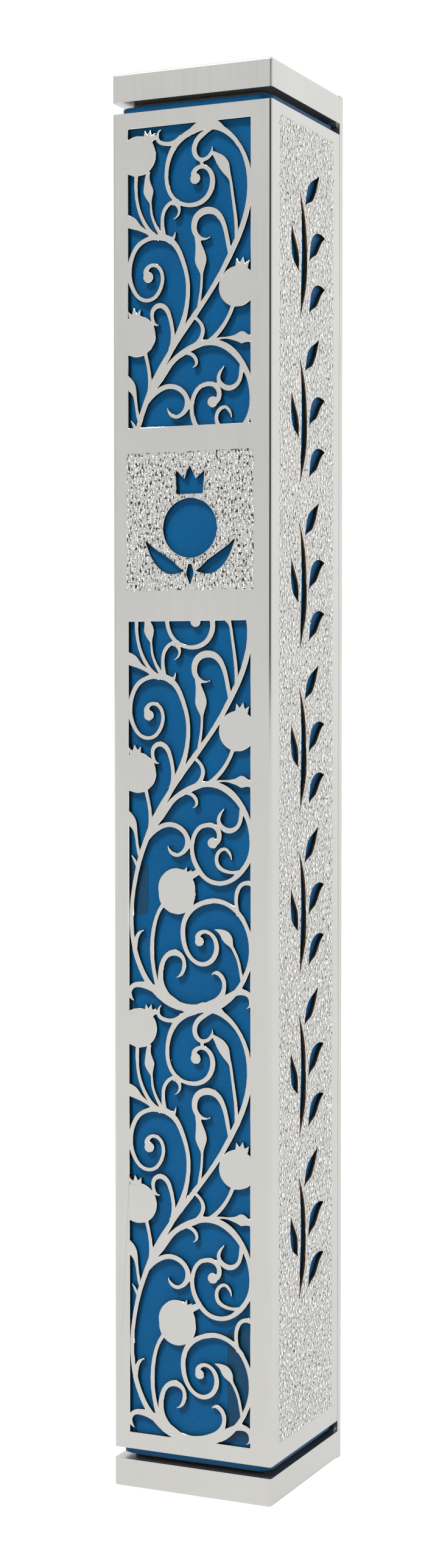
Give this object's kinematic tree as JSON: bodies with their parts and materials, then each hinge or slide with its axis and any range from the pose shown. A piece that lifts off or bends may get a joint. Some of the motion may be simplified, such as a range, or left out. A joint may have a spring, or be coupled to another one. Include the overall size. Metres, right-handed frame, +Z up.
{
  "type": "mezuzah case",
  "caption": "Slim wall-mounted mezuzah case: pierced steel sleeve with vine and fruit openwork over a blue tube, between the end caps of a back plate.",
  "frame": {"origin": "centre of the two wall-screw holes, on the back face of the back plate, which lies on the wall", "axes": "+Z up along the case, +X to the right seen from the front, the front faces -Y and +Y points into the wall"},
  "size_m": [0.02, 0.0217, 0.164],
  "materials": {
    "brushed_steel": "satin with a fine vertical grain",
    "blue_coat": "fine textured powder coat, low gloss",
    "black_plastic": "moulded, slightly shiny",
    "parchment": "matt cream skin parchment, left blank",
    "clear_film": "thin clear film",
    "adhesive": "clear adhesive, wrinkled where it was pressed"
  },
  "bodies": {
    "wall_frame": {"back_plate": "brushed_steel", "top_cap": "brushed_steel", "bottom_cap": "brushed_steel"},
    "case": {"openwork_sleeve": "brushed_steel", "core_tube": "blue_coat", "top_plug": "black_plastic", "bottom_plug": "black_plastic", "parchment_scroll": "parchment", "scroll_wrapper": "clear_film", "adhesive_patches": "adhesive"}
  },
  "joints": [
    {"name": "case_pull_off", "type": "slide", "parent": "wall_frame", "child": "case", "axis": [0, -1, 0], "range_m": [0, 0.03]}
  ]
}
